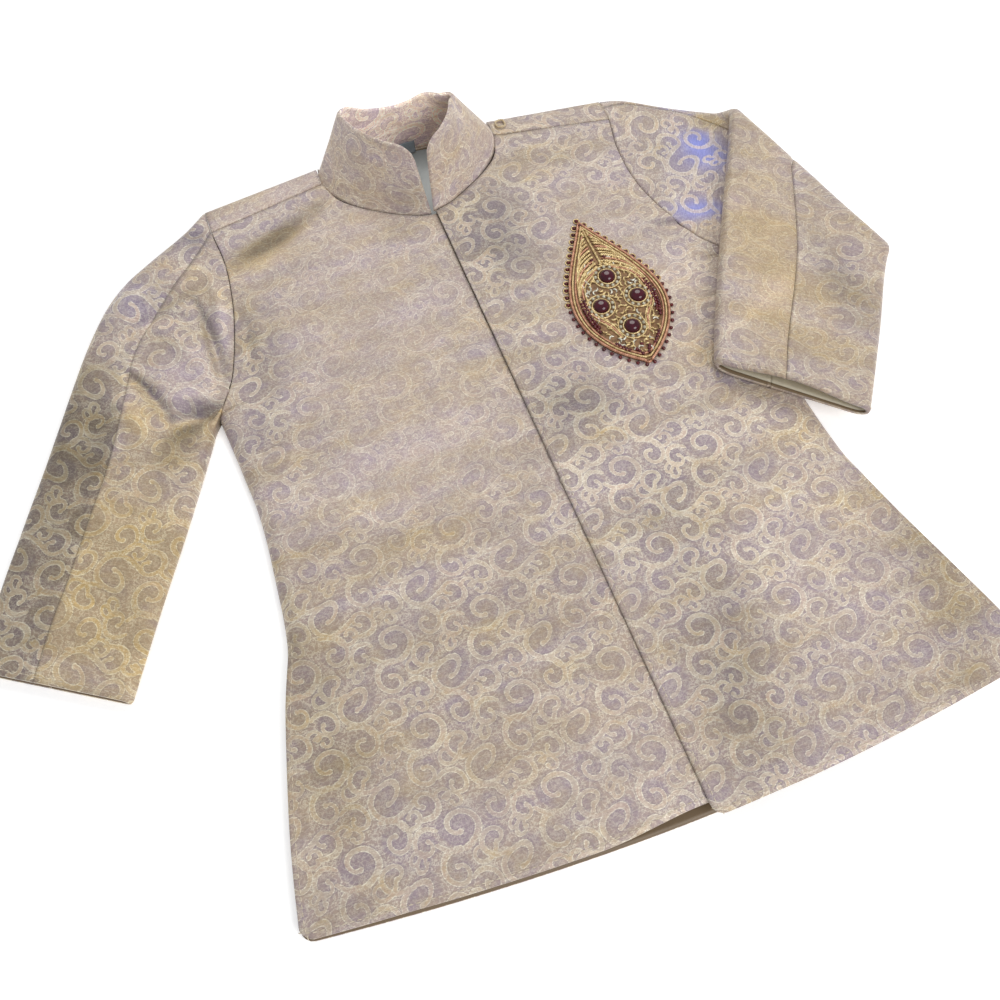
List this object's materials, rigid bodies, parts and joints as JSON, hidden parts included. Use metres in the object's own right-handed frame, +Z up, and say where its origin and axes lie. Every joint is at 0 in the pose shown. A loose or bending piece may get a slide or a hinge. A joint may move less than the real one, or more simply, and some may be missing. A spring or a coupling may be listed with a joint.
{
  "type": "sherwani coat",
  "caption": "Toddler's brocade coat with a standing collar, side slits and an embroidered applique, laid flat with one sleeve folded over the chest.",
  "frame": {"origin": "on the surface the coat lies on, at the flat underside of the back panel, on the centre back line 200 mm above the back hem", "axes": "+X towards the wearer's left sleeve, +Y from the hem to the collar, +Z up from the surface"},
  "size_m": [0.5062, 0.4265, 0.043],
  "materials": {
    "brocade": "satin jacquard with a raised scroll pattern",
    "brocade_sleeve": "satin jacquard with a raised scroll pattern",
    "brocade_collar": "satin jacquard with a raised scroll pattern, interlined",
    "satin_lining": "smooth satin",
    "cuff_lining": "smooth satin",
    "woven_label": "plain woven tape, blank",
    "cord_loop": "twisted cord",
    "gilt_embroidery": "padded metal thread and bead embroidery",
    "red_cabochon": "polished"
  },
  "bodies": {
    "root": {"back": "brocade", "front_right": "brocade", "front_left": "brocade", "sleeve_right_outer": "brocade_sleeve", "sleeve_right_inner": "brocade_sleeve", "sleeve_left_outer": "brocade_sleeve", "sleeve_left_inner": "brocade_sleeve", "collar": "brocade_collar", "neck_lining": "satin_lining", "cuff_lining_outer": "cuff_lining", "cuff_lining_inner": "cuff_lining", "neck_label": "woven_label", "neck_loop": "cord_loop", "brooch_base": "gilt_embroidery", "brooch_stone_1": "red_cabochon", "brooch_stone_2": "red_cabochon", "brooch_stone_3": "red_cabochon", "brooch_stone_4": "red_cabochon"}
  },
  "joints": []
}
